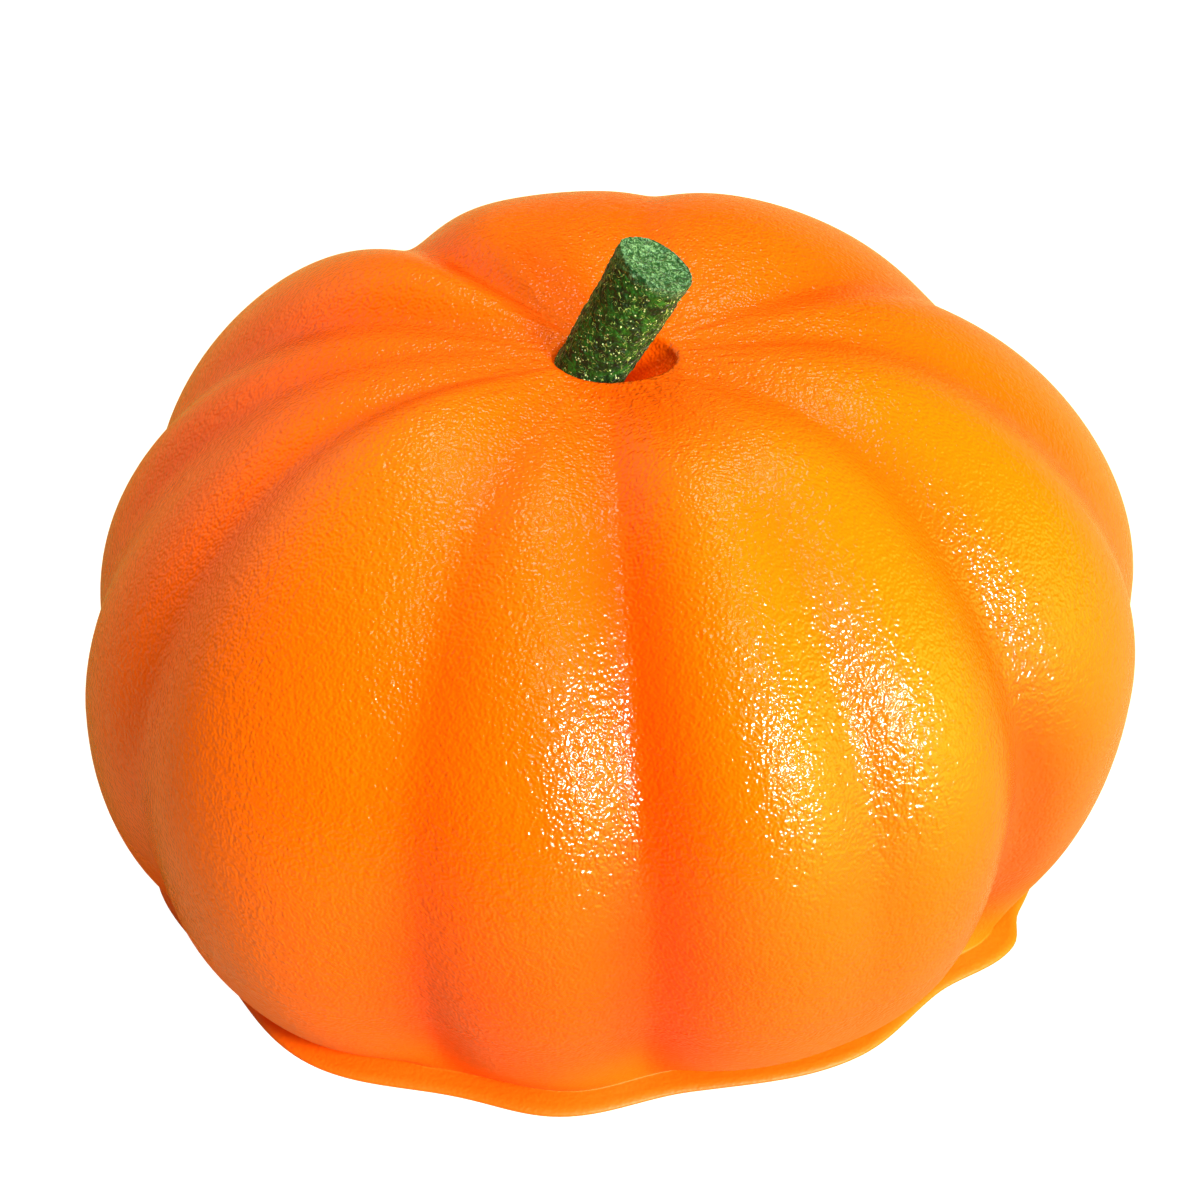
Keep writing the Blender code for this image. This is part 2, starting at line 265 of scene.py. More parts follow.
def upper_skin(azimuth, share):
    """Distance from the axis and height, where share runs from 0 at the crown to 1 at the waist."""
    across = share ** (UPPER_FULLNESS / 2.0)
    turn = np.degrees(np.arcsin(np.clip(across, 0.0, 1.0)))
    leans = [(groove[0], groove[1]) for groove in GROOVES]
    leaned = azimuth - between(azimuth, leans) * (1.0 - share)
    widening = np.maximum(share, NARROWEST_SHARE) ** -CROWN_WIDENING
    growth = 1.0 + relief(leaned, turn, widening) * MM * eased(share / RIB_FADE_RADIUS) / BODY_RADIUS
    radius = BODY_RADIUS * share * growth
    rise = UPPER_RISE * np.sqrt(np.clip(1.0 - across**2, 0.0, 1.0)) ** (2.0 / UPPER_FULLNESS)
    dimple = DIMPLE_DEPTH * np.exp(-((radius / DIMPLE_RADIUS) ** 2))
    return radius, WAIST_HEIGHT + rise * growth - dimple


def crown_height(x, y):
    """Height of the skin over a point near the axis, where the right share is closed in on in steps."""
    azimuth = np.degrees(np.arctan2(y, x))
    wanted = np.hypot(x, y)
    share = wanted / BODY_RADIUS
    for step in range(CROWN_STEPS):
        radius = upper_skin(azimuth, share)[0]
        share = share * wanted / np.maximum(radius, 1e-9)
    return upper_skin(azimuth, share)[1]


def mixed(sizes, share):
    """A size between the one for ribs and the one for deep grooves."""
    return sizes[0] + (sizes[1] - sizes[0]) * share


def lower_skin(azimuth, share):
    """Distance from the axis and height, where share runs from 0 at the waist to 1 at the foot's top."""
    lowest = relief(azimuth, np.full_like(azimuth, 180.0), 1.0)
    foot = mixed(FOOT_HEIGHT, eased(-lowest / DEEP_GROOVE))
    drop = (WAIST_HEIGHT - foot) / (LOWER_DROP * (1.0 + lowest * MM / BODY_RADIUS))
    end = 180.0 - np.degrees(np.arccos(drop ** (LOWER_FULLNESS / 2.0)))
    turn = 90.0 + (end - 90.0) * share
    growth = 1.0 + relief(azimuth, turn, 1.0) * MM / BODY_RADIUS
    across = np.sin(np.radians(turn)) ** (2.0 / LOWER_FULLNESS)
    down = np.abs(np.cos(np.radians(turn))) ** (2.0 / LOWER_FULLNESS)
    return BODY_RADIUS * across * growth, WAIST_HEIGHT - LOWER_DROP * down * growth


def lip_curve(azimuth, share):
    """Distance from the axis and height, where share runs from 0 at the foot's top to 1 at the edge."""
    lowest = relief(azimuth, np.full_like(azimuth, 180.0), 1.0)
    deep = eased(-lowest / DEEP_GROOVE)
    edge = between(azimuth, LIP_EDGE) * MM
    crease, crease_height = edge - mixed(CREASE_REACH, deep), mixed(CREASE_HEIGHT, deep)
    if share >= CREASE_SHARE:
        out = (share - CREASE_SHARE) / (1.0 - CREASE_SHARE)
        return (
            crease + (edge - LIP_ROUNDING - crease) * out,
            crease_height + (LIP_THICKNESS - crease_height) * out,
        )
    radius, height = lower_skin(azimuth, np.ones_like(azimuth))
    radius_above, height_above = lower_skin(azimuth, np.full_like(azimuth, 0.999))
    slope = (radius_above - radius) / (height_above - height)
    knee_height = mixed(KNEE_HEIGHT, deep)
    knee = radius - slope * (height - knee_height)
    along = share / CREASE_SHARE
    first, middle, last = (1.0 - along) ** 2, 2.0 * (1.0 - along) * along, along**2
    return (
        radius * first + knee * middle + crease * last,
        height * first + knee_height * middle + crease_height * last,
    )


# Where the stem's axis crosses the rim, and the way it points
STEM_AT_RIM = Vector((-1.5 * MM, -0.6 * MM, 56.7 * MM))
STEM_LEAN = math.radians(27.5)
STEM_LEAN_AZIMUTH = math.radians(5.0)
STEM_WAY = Vector(
    (
        math.sin(STEM_LEAN) * math.cos(STEM_LEAN_AZIMUTH),
        math.sin(STEM_LEAN) * math.sin(STEM_LEAN_AZIMUTH),
        math.cos(STEM_LEAN),
    )
)
SEAT_RADIUS = 3.8 * MM


def polar(radius, height, azimuth):
    angle = np.radians(azimuth)
    return np.stack([radius * np.cos(angle), radius * np.sin(angle), height + 0.0 * angle], axis=-1)


def socket_wall(azimuth, share):
    """Points of the socket from its seat, at share 0, to just under the rounded rim, at share 1."""
    angle = np.radians(azimuth)
    top_x = RIM_CENTRE[0] + RIM_HALF_SIZES[0] * np.cos(angle)
    top_y = RIM_CENTRE[1] + RIM_HALF_SIZES[1] * np.sin(angle)
    top_z = crown_height(top_x, top_y) - RIM_ROUNDING
    deep = STEM_AT_RIM - STEM_WAY * (SOCKET_DEPTH / STEM_WAY.z)
    seat_x = deep.x + SEAT_RADIUS / STEM_WAY.z * np.cos(angle)
    seat_y = deep.y + SEAT_RADIUS * np.sin(angle)
    return np.stack(
        [
            seat_x + (top_x - seat_x) * share,
            seat_y + (top_y - seat_y) * share,
            deep.z + (top_z - deep.z) * share,
        ],
        axis=-1,
    )


def crown(azimuth, out):
    """Points at a distance outside the rim's oval, which turns into the ribs' own ring as it widens."""
    angle = np.radians(azimuth)
    oval_x = RIM_CENTRE[0] + (RIM_HALF_SIZES[0] + out) * np.cos(angle)
    oval_y = RIM_CENTRE[1] + (RIM_HALF_SIZES[1] + out) * np.sin(angle)
    blend = eased(out / RIM_BLEND_WIDTH)
    widest = RIM_HALF_SIZES[0] + RIM_BLEND_WIDTH
    last_ring = upper_skin(azimuth, np.full_like(azimuth, widest / BODY_RADIUS))[0]
    ring = last_ring * (RIM_HALF_SIZES[0] + out) / widest
    x = oval_x + (ring * np.cos(angle) - oval_x) * blend
    y = oval_y + (ring * np.sin(angle) - oval_y) * blend
    inside = np.clip(1.0 - out / RIM_ROUNDING, 0.0, 1.0)
    fall = RIM_ROUNDING * (1.0 - np.sqrt(1.0 - inside**2))
    return np.stack([x, y, crown_height(x, y) - fall], axis=-1)


def body_rows():
    """Every row of the body's points, from the bottom of the socket round to the middle of the underside."""
    azimuth = np.arange(BODY_SEGMENTS) * 360.0 / BODY_SEGMENTS
    seat = socket_wall(azimuth, 0.0)
    seat_middle = seat.mean(axis=0)
    rows = [seat_middle + (seat - seat_middle) * i / SEAT_ROWS for i in range(SEAT_ROWS)]
    rows += [socket_wall(azimuth, i / WALL_ROWS) for i in range(WALL_ROWS)]
    bends = [math.radians(90.0 * i / ROUNDING_ROWS) for i in range(ROUNDING_ROWS)]
    rows += [crown(azimuth, RIM_ROUNDING * (1.0 - math.cos(bend))) for bend in bends]
    reach = RIM_BLEND_WIDTH - RIM_ROUNDING
    rows += [crown(azimuth, RIM_ROUNDING + reach * i / CROWN_ROWS) for i in range(CROWN_ROWS)]
    first = (RIM_HALF_SIZES[0] + RIM_BLEND_WIDTH) / BODY_RADIUS
    first_turn = math.asin(first ** (UPPER_FULLNESS / 2.0))
    for i in range(UPPER_ROWS):
        turn = first_turn + (math.pi / 2.0 - first_turn) * i / UPPER_ROWS
        share = math.sin(turn) ** (2.0 / UPPER_FULLNESS)
        radius, height = upper_skin(azimuth, np.full_like(azimuth, share))
        rows.append(polar(radius, height, azimuth))
    for i in range(LOWER_ROWS):
        rows.append(polar(*lower_skin(azimuth, np.full_like(azimuth, i / LOWER_ROWS)), azimuth))
    rows += [polar(*lip_curve(azimuth, i / LIP_ROWS), azimuth) for i in range(LIP_ROWS)]
    edge = between(azimuth, LIP_EDGE) * MM
    for i in range(EDGE_ROWS):
        bend = math.pi / 2.0 * i / EDGE_ROWS
        inset = LIP_ROUNDING * (1.0 - math.sin(bend))
        rows.append(polar(edge - inset, LIP_THICKNESS * math.cos(bend), azimuth))
    for i in range(UNDER_ROWS + 1):
        rows.append(polar(edge * (1.0 - i / UNDER_ROWS), 0.0, azimuth))
    return np.array(rows)


def moved_grid(name, rows):
    """A grid wrapped round the axis, with its points moved row by row and its seam and poles merged."""
    count, segments = rows.shape[:2]
    bpy.ops.mesh.primitive_grid_add(x_subdivisions=segments, y_subdivisions=count - 1, size=1.0)
    piece = bpy.context.object
    piece.name = name
    closed = np.concatenate([rows, rows[:, :1]], axis=1)
    piece.data.vertices.foreach_set("co", closed.ravel())
    bpy.ops.object.mode_set(mode="EDIT")
    bpy.ops.mesh.select_all(action="SELECT")
    bpy.ops.mesh.remove_doubles(threshold=MERGE_DISTANCE)
    bpy.ops.mesh.normals_make_consistent(inside=False)
    bpy.ops.object.mode_set(mode="OBJECT")
    bpy.ops.object.shade_smooth()
    return piece


body = moved_grid("pumpkin_skin", body_rows())

# How high each point stands on its rib, from 0 in the deepest groove to 1: it sets painted shade in the
# grooves and painted light on the ribs. It evens out towards the crown, and at the foot it is painted
# lighter.
GROOVE_FLOOR = -5.0
RIB_TOP = 2.0
CROWN_RIB_HEIGHT = 0.5
GROOVE_FADE = 30.0 * MM
# Painted light: near the foot the colour is lifted nearly to the ribs' lit colour
FOOT_RIB_HEIGHT = 0.9
FOOT_FADE = 12.0 * MM
points = np.empty(len(body.data.vertices) * 3)
body.data.vertices.foreach_get("co", points)
points = points.reshape(-1, 3)
point_azimuth = np.degrees(np.arctan2(points[:, 1], points[:, 0]))
point_reach = np.hypot(points[:, 0], points[:, 1]) / BODY_RADIUS
point_rise = (points[:, 2] - WAIST_HEIGHT) / UPPER_RISE
point_turn = np.degrees(np.arctan2(point_reach, point_rise))
point_leans = between(point_azimuth, [(groove[0], groove[1]) for groove in GROOVES])
lean_share = np.where(point_rise > 0.0, np.clip(1.0 - point_reach, 0.0, 1.0), 0.0)
rib_height = relief(point_azimuth - point_leans * lean_share, point_turn, 1.0)
rib_height = np.clip((rib_height - GROOVE_FLOOR) / (RIB_TOP - GROOVE_FLOOR), 0.0, 1.0)
crown_share = eased(point_reach * BODY_RADIUS / GROOVE_FADE)
rib_height = CROWN_RIB_HEIGHT + (rib_height - CROWN_RIB_HEIGHT) * crown_share
# Painted light on the shaded foot: its colour is raised towards the ribs' lit colour
rib_height = FOOT_RIB_HEIGHT + (rib_height - FOOT_RIB_HEIGHT) * eased(points[:, 2] / FOOT_FADE)
body.data.attributes.new("rib_height", "FLOAT", "POINT").data.foreach_set("value", rib_height)

# How deep each point lies in the socket, from 0 at the rim to 1, for the socket's painted glow
GLOW_TOP = 56.5 * MM
GLOW_DEPTH = 3.0 * MM
GLOW_REACH = RIM_HALF_SIZES[0] + 1.0 * MM
in_socket = (point_reach * BODY_RADIUS < GLOW_REACH) & (points[:, 2] > WAIST_HEIGHT)
socket_depth = np.where(in_socket, np.clip((GLOW_TOP - points[:, 2]) / GLOW_DEPTH, 0.0, 1.0), 0.0)
body.data.attributes.new("socket_depth", "FLOAT", "POINT").data.foreach_set("value", socket_depth)


def new_finish(name):
    """A material with its node tree and its Principled shader."""
    finish = bpy.data.materials.new(name)
    finish.use_nodes = True
    return finish, finish.node_tree, finish.node_tree.nodes["Principled BSDF"]


def node(tree, kind, **values):
    """A node with its settings, and its input values by name or, after an underscore, by number."""
    made = tree.nodes.new("ShaderNode" + kind)
    for name, value in values.items():
        if name.startswith("_"):
            made.inputs[int(name[1:])].default_value = value
        elif name in made.bl_rna.properties:
            setattr(made, name, value)
        else:
            made.inputs[name.replace("_", " ")].default_value = value
    return made


def effect_group(name, inputs, outputs):
    """An empty node group with named float, vector or colour sockets."""
    group = bpy.data.node_groups.new(name, "ShaderNodeTree")
    for way, sockets in (("INPUT", inputs), ("OUTPUT", outputs)):
        for socket, kind in sockets:
            group.interface.new_socket(socket, in_out=way, socket_type="NodeSocket" + kind)
    return group, group.nodes.new("NodeGroupInput"), group.nodes.new("NodeGroupOutput")


def use_group(tree, group, **values):
    made = tree.nodes.new("ShaderNodeGroup")
    made.node_tree = group
    for name, value in values.items():
        made.inputs[name.replace("_", " ")].default_value = value
    return made


# Pebbled grain: soft rounded bumps side by side, on a slow unevenness
SLOW_SHARE = 0.4
grain, grain_in, grain_out = effect_group(
    "pebbled_grain",
    [("Vector", "Vector"), ("Bumps per Metre", "Float"), ("Unevenness", "Float")],
    [("Height", "Float")],
)
pebble = node(grain, "TexNoise", Detail=0.0)
slow_rate = node(grain, "Math", operation="MULTIPLY", _1=SLOW_SHARE)
slow = node(grain, "TexNoise", Detail=0.0)
slow_part = node(grain, "Math", operation="MULTIPLY")
grain_sum = node(grain, "Math", operation="ADD")
grain.links.new(grain_in.outputs["Vector"], pebble.inputs["Vector"])
grain.links.new(grain_in.outputs["Vector"], slow.inputs["Vector"])
grain.links.new(grain_in.outputs["Bumps per Metre"], pebble.inputs["Scale"])
grain.links.new(grain_in.outputs["Bumps per Metre"], slow_rate.inputs[0])
grain.links.new(slow_rate.outputs[0], slow.inputs["Scale"])
grain.links.new(slow.outputs["Fac"], slow_part.inputs[0])
grain.links.new(grain_in.outputs["Unevenness"], slow_part.inputs[1])
grain.links.new(pebble.outputs["Fac"], grain_sum.inputs[0])
grain.links.new(slow_part.outputs[0], grain_sum.inputs[1])
grain.links.new(grain_sum.outputs[0], grain_out.inputs["Height"])

# Painted shade and light: a shaded, redder copy of the orange for the grooves and a lit, yellower one for
# the ribs
GROOVE_SHADED_COLOUR = (0.9, 0.06, 0.0, 1.0)
RIB_LIT_COLOUR = (1.0, 0.165, 0.0, 1.0)
SKIN_MOTTLE = 0.12
# Painted light: the red glow given off in the socket
SOCKET_PAINTED_GLOW = (0.3, 0.012, 0.0, 1.0)
SKIN_GRAIN_HEIGHT = 0.12 * MM
SKIN_GRAIN_RATE = 3000.0
SKIN_UNEVENNESS = 0.8
GRAIN_FADE_FROM, GRAIN_FADE_TO = 20.0 * MM, 3.0 * MM
GRAIN_SHARE_AT_FOOT = 0.35
SKIN_ROUGHNESS = 0.12
SKIN_ROUGHNESS_AT_FOOT = 0.5
SKIN_GLOSS_LEVEL = 0.42
SKIN_GLOSS_TINT = (1.0, 0.97, 0.92, 1.0)
SKIN_MOTTLE_RATE = 70.0
CROWN_WRINKLE_RATE = 9.0
CROWN_WRINKLE_LENGTH_RATE = 160.0
CROWN_WRINKLE_SHARE = 2.8
WRINKLE_FADE_FROM, WRINKLE_FADE_TO = 5.0 * MM, 26.0 * MM
RIM_FADE_FROM, RIM_FADE_TO = 7.5 * MM, 4.5 * MM

skin_finish, skin_tree, skin_shader = new_finish("orange_moulded_skin")
skin_shader.inputs["Specular IOR Level"].default_value = SKIN_GLOSS_LEVEL
skin_shader.inputs["Specular Tint"].default_value = SKIN_GLOSS_TINT
skin_place = node(skin_tree, "TexCoord")

# Colour: painted shade makes the grooves redder and painted light makes the ribs yellower, with soft clouds
# of tone that varies at random
rib_place = node(skin_tree, "Attribute", attribute_name="rib_height")
mottle = node(skin_tree, "TexNoise", Scale=SKIN_MOTTLE_RATE, Detail=2.0, Roughness=0.6)
mottle_share = node(skin_tree, "MapRange", _3=-SKIN_MOTTLE, _4=SKIN_MOTTLE)
shade_and_mottle_share = node(skin_tree, "Math", operation="ADD", use_clamp=True)
shade_and_mottle_mix = node(skin_tree, "Mix", data_type="RGBA", _6=GROOVE_SHADED_COLOUR, _7=RIB_LIT_COLOUR)
skin_tree.links.new(skin_place.outputs["Object"], mottle.inputs["Vector"])
skin_tree.links.new(mottle.outputs["Fac"], mottle_share.inputs[0])
skin_tree.links.new(rib_place.outputs["Fac"], shade_and_mottle_share.inputs[0])
skin_tree.links.new(mottle_share.outputs[0], shade_and_mottle_share.inputs[1])
skin_tree.links.new(shade_and_mottle_share.outputs[0], shade_and_mottle_mix.inputs[0])
skin_tree.links.new(shade_and_mottle_mix.outputs[2], skin_shader.inputs["Base Color"])

# Painted light: the inside of the socket glows red, from nothing at the rim to full a little below it
socket_place = node(skin_tree, "Attribute", attribute_name="socket_depth")
socket_painted_glow = node(skin_tree, "Mix", data_type="RGBA", _6=(0.0, 0.0, 0.0, 1.0), _7=SOCKET_PAINTED_GLOW)
skin_shader.inputs["Emission Strength"].default_value = 1.0
skin_tree.links.new(socket_place.outputs["Fac"], socket_painted_glow.inputs[0])
skin_tree.links.new(socket_painted_glow.outputs[2], skin_shader.inputs["Emission Color"])

# Grain, which dies out towards the foot
pebbles = use_group(skin_tree, grain, Bumps_per_Metre=SKIN_GRAIN_RATE, Unevenness=SKIN_UNEVENNESS)
skin_parts = node(skin_tree, "SeparateXYZ")
foot_fade = node(
    skin_tree, "MapRange", interpolation_type="SMOOTHSTEP",
    _1=GRAIN_FADE_TO, _2=GRAIN_FADE_FROM, _3=GRAIN_SHARE_AT_FOOT, _4=1.0,
)
grain_height = node(skin_tree, "Math", operation="MULTIPLY")
skin_tree.links.new(skin_place.outputs["Object"], pebbles.inputs["Vector"])
skin_tree.links.new(skin_place.outputs["Object"], skin_parts.inputs[0])
skin_tree.links.new(skin_parts.outputs["Z"], foot_fade.inputs[0])
skin_tree.links.new(pebbles.outputs["Height"], grain_height.inputs[0])
skin_tree.links.new(foot_fade.outputs[0], grain_height.inputs[1])

foot_gloss = node(
    skin_tree, "MapRange", _1=GRAIN_SHARE_AT_FOOT, _2=1.0, _3=SKIN_ROUGHNESS_AT_FOOT, _4=SKIN_ROUGHNESS
)
skin_tree.links.new(foot_fade.outputs[0], foot_gloss.inputs[0])
skin_tree.links.new(foot_gloss.outputs[0], skin_shader.inputs["Roughness"])

# Wrinkles that run out from the socket, found by direction and distance from the axis
flat_place = node(skin_tree, "VectorMath", operation="MULTIPLY", _1=(1.0, 1.0, 0.0))
direction = node(skin_tree, "VectorMath", operation="NORMALIZE")
direction_rate = node(skin_tree, "VectorMath", operation="SCALE", Scale=CROWN_WRINKLE_RATE)
distance = node(skin_tree, "VectorMath", operation="LENGTH")
length_rate = node(skin_tree, "Math", operation="MULTIPLY", _1=CROWN_WRINKLE_LENGTH_RATE)
wrinkle_lift = node(skin_tree, "CombineXYZ")
wrinkle_place = node(skin_tree, "VectorMath", operation="ADD")
wrinkles = node(skin_tree, "TexNoise", Scale=1.0, Detail=1.0, Roughness=0.5, Distortion=0.3)
crown_fade = node(
    skin_tree, "MapRange", interpolation_type="SMOOTHSTEP",
    _1=WRINKLE_FADE_FROM, _2=WRINKLE_FADE_TO, _3=CROWN_WRINKLE_SHARE, _4=0.0,
)
rim_fade = node(
    skin_tree, "MapRange", interpolation_type="SMOOTHSTEP", _1=RIM_FADE_TO, _2=RIM_FADE_FROM
)
wrinkle_share = node(skin_tree, "Math", operation="MULTIPLY")
wrinkle_height = node(skin_tree, "Math", operation="MULTIPLY")
total_height = node(skin_tree, "Math", operation="ADD")
skin_bump = node(skin_tree, "Bump", Strength=1.0, Distance=SKIN_GRAIN_HEIGHT)
skin_tree.links.new(skin_place.outputs["Object"], flat_place.inputs[0])
skin_tree.links.new(flat_place.outputs[0], direction.inputs[0])
skin_tree.links.new(flat_place.outputs[0], distance.inputs[0])
skin_tree.links.new(direction.outputs[0], direction_rate.inputs[0])
skin_tree.links.new(distance.outputs["Value"], length_rate.inputs[0])
skin_tree.links.new(length_rate.outputs[0], wrinkle_lift.inputs["Z"])
skin_tree.links.new(direction_rate.outputs[0], wrinkle_place.inputs[0])
skin_tree.links.new(wrinkle_lift.outputs[0], wrinkle_place.inputs[1])
skin_tree.links.new(wrinkle_place.outputs[0], wrinkles.inputs["Vector"])
skin_tree.links.new(distance.outputs["Value"], crown_fade.inputs[0])
skin_tree.links.new(wrinkles.outputs["Fac"], wrinkle_height.inputs[0])
skin_tree.links.new(distance.outputs["Value"], rim_fade.inputs[0])
skin_tree.links.new(crown_fade.outputs[0], wrinkle_share.inputs[0])
skin_tree.links.new(rim_fade.outputs[0], wrinkle_share.inputs[1])
skin_tree.links.new(wrinkle_share.outputs[0], wrinkle_height.inputs[1])
skin_tree.links.new(grain_height.outputs[0], total_height.inputs[0])
skin_tree.links.new(wrinkle_height.outputs[0], total_height.inputs[1])
skin_tree.links.new(total_height.outputs[0], skin_bump.inputs["Height"])
skin_tree.links.new(skin_bump.outputs["Normal"], skin_shader.inputs["Normal"])

body.data.materials.append(skin_finish)
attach(body, "root")
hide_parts("pumpkin_body")

# Stem
# A cut length of round green rod, rough and fibrous, pushed at a lean into the seat at the bottom
# of the socket. It widens a little towards its cut end, which is slightly dished.
STEM_RADIUS_AT_RIM = 3.55 * MM
STEM_RADIUS_AT_TOP = 4.0 * MM
STEM_SHOWING = 12.2 * MM
STEM_BURIED = 8.5 * MM
STEM_EDGE = 0.22 * MM
STEM_DISH = 0.35 * MM
STEM_SEGMENTS = 180
STEM_SIDE_ROWS = 150
STEM_EDGE_ROWS = 4
STEM_TOP_ROWS = 34
STEM_BOTTOM_ROWS = 4

# Roughness of the rod: how many lumps there are to a metre, and how far each kind moves the
# surface in millimetres
LUMP_RATES, LUMP_HEIGHTS = (260.0, 900.0), (0.16, 0.10)
GRIT_RATE, GRIT_HEIGHT = 2600.0, 0.11
FIBRE_RATE, FIBRE_HEIGHT = 1500.0, -0.5
CUT_LUMP_RATE, CUT_LUMP_HEIGHT = 700.0, 0.16
ROUGHNESS_OFFSET = 0.05

# The rod's own directions: across it, and away from the front
STEM_ACROSS = STEM_WAY.cross(Vector((0.0, 1.0, 0.0))).normalized() * -1.0
STEM_BACK = STEM_WAY.cross(STEM_ACROSS)


def stem_radius(up):
    share = np.clip(up / STEM_SHOWING, -1.0, 1.0)
    return STEM_RADIUS_AT_RIM + (STEM_RADIUS_AT_TOP - STEM_RADIUS_AT_RIM) * share


def stem_rows():
    """The rod's points as (distance from its axis, height along it), from the buried end to the cut end."""
    low, high = -STEM_BURIED, STEM_SHOWING
    plain = [(stem_radius(low) * i / STEM_BOTTOM_ROWS, low) for i in range(STEM_BOTTOM_ROWS)]
    for i in range(STEM_SIDE_ROWS):
        up = low + (high - STEM_EDGE - low) * i / STEM_SIDE_ROWS
        plain.append((stem_radius(up), up))
    for i in range(STEM_EDGE_ROWS):
        bend = math.pi / 2.0 * i / STEM_EDGE_ROWS
        inset = STEM_EDGE * (1.0 - math.cos(bend))
        plain.append((stem_radius(high) - inset, high - STEM_EDGE * (1.0 - math.sin(bend))))
    for i in range(STEM_TOP_ROWS + 1):
        share = 1.0 - i / STEM_TOP_ROWS
        plain.append(((stem_radius(high) - STEM_EDGE) * share, high - STEM_DISH * (1.0 - share**2)))
    return plain


def stem_point(radius, up, angle):
    across = STEM_ACROSS * (radius * math.cos(angle)) + STEM_BACK * (radius * math.sin(angle))
    return STEM_AT_RIM + across + STEM_WAY * up


def stem_grid():
    """The rod's points in place, roughened along their own directions."""
    plain = stem_rows()
    rows = np.empty((len(plain), STEM_SEGMENTS, 3))
    side_end = STEM_BOTTOM_ROWS + STEM_SIDE_ROWS
    for i, (radius, up) in enumerate(plain):
        for j in range(STEM_SEGMENTS):
            angle = 2.0 * math.pi * j / STEM_SEGMENTS
            place = stem_point(radius, up, angle)
            if STEM_BOTTOM_ROWS <= i < side_end + STEM_EDGE_ROWS:
                rough = sum(noise.noise(place * r) * h for r, h in zip(LUMP_RATES, LUMP_HEIGHTS))
                rough += noise.noise(place * GRIT_RATE) * GRIT_HEIGHT - ROUGHNESS_OFFSET
                rows[i, j] = stem_point(radius + rough * MM, up, angle)
            elif i >= side_end + STEM_EDGE_ROWS:
                rough = abs(noise.noise(place * FIBRE_RATE)) * FIBRE_HEIGHT
                rough += noise.noise(place * CUT_LUMP_RATE) * CUT_LUMP_HEIGHT - ROUGHNESS_OFFSET
                rows[i, j] = stem_point(radius, up + rough * MM, angle)
            else:
                rows[i, j] = place
    rows[0] = rows[0].mean(axis=0)
    rows[-1] = rows[-1].mean(axis=0)
    return rows


stem = moved_grid("stem_rod", stem_grid())

STEM_DARK = (0.001, 0.018, 0.001, 1.0)
STEM_GREEN = (0.012, 0.12, 0.005, 1.0)
# Painted glints: bright pale specks in the rod's colour
STEM_GLINT_SPECK = (0.6, 0.8, 0.4, 1.0)
STEM_FIBRE = (0.25, 0.42, 0.1, 1.0)
STEM_CUT_GREEN = (0.004, 0.06, 0.015, 1.0)
STEM_CUT_PALE = (0.17, 0.38, 0.22, 1.0)
STEM_FUZZ_COLOUR = (0.75, 0.85, 0.95, 1.0)
STEM_ROUGHNESS = 0.6
STEM_GLOSS_LEVEL = 0.25
STEM_FUZZ_WEIGHT = 0.1
STEM_FUZZ_ROUGHNESS = 0.4
SIDE_CLOUD_RATE = 900.0
SIDE_CLOUD_RANGE = (0.42, 0.7)
FIBRE_LINE_RATE = 1300.0
FIBRE_LINE_RANGE = (0.03, 0.01)
FIBRE_CHOICE_RATE = 1900.0
FIBRE_CHOICE_RANGE = (0.48, 0.56)
SPECK_RATE = 2400.0
SPECK_RANGE = (0.24, 0.14)
SPECK_CHOICE_RATE = 1600.0
SPECK_CHOICE_RANGE = (0.49, 0.57)
CUT_CLOUD_RATE = 1500.0
CUT_CLOUD_RANGE = (0.47, 0.66)
STEM_GRAIN_RATE = 3800.0
STEM_UNEVENNESS = 1.5
STEM_GRAIN_HEIGHT = 0.16 * MM
CUT_COLOUR_FROM, CUT_COLOUR_TO = 1.3 * MM, 0.4 * MM  # below the cut end

stem_finish, stem_tree, stem_shader = new_finish("green_fibrous_rod")
stem_shader.inputs["Roughness"].default_value = STEM_ROUGHNESS
stem_shader.inputs["Specular IOR Level"].default_value = STEM_GLOSS_LEVEL
stem_shader.inputs["Sheen Weight"].default_value = STEM_FUZZ_WEIGHT
stem_shader.inputs["Sheen Roughness"].default_value = STEM_FUZZ_ROUGHNESS
stem_shader.inputs["Sheen Tint"].default_value = STEM_FUZZ_COLOUR
stem_place = node(stem_tree, "TexCoord")

# Side: dark green clouds, strewn with pale fibres, and with pale specks that are painted glints
side_cloud = node(stem_tree, "TexNoise", Scale=SIDE_CLOUD_RATE, Detail=3.0, Roughness=0.65)
side_mix = node(stem_tree, "Mix", data_type="RGBA", _6=STEM_DARK, _7=STEM_GREEN)
side_range = node(stem_tree, "MapRange", _1=SIDE_CLOUD_RANGE[0], _2=SIDE_CLOUD_RANGE[1])
fibres = node(stem_tree, "TexNoise", Scale=FIBRE_LINE_RATE, Detail=0.0, Distortion=1.2)
fibre_offset = node(stem_tree, "Math", operation="SUBTRACT", _1=0.5)
fibre_line = node(stem_tree, "Math", operation="ABSOLUTE")
fibre_mask = node(stem_tree, "MapRange", _1=FIBRE_LINE_RANGE[0], _2=FIBRE_LINE_RANGE[1])
fibre_choice = node(stem_tree, "TexNoise", Scale=FIBRE_CHOICE_RATE, Detail=0.0)
fibre_some = node(stem_tree, "MapRange", _1=FIBRE_CHOICE_RANGE[0], _2=FIBRE_CHOICE_RANGE[1])
fibre_share = node(stem_tree, "Math", operation="MULTIPLY")
fibre_mix = node(stem_tree, "Mix", data_type="RGBA", _7=STEM_FIBRE)
specks = node(stem_tree, "TexVoronoi", Scale=SPECK_RATE, Randomness=1.0)
speck_mask = node(stem_tree, "MapRange", _1=SPECK_RANGE[0], _2=SPECK_RANGE[1])
speck_choice = node(stem_tree, "TexNoise", Scale=SPECK_CHOICE_RATE, Detail=0.0)
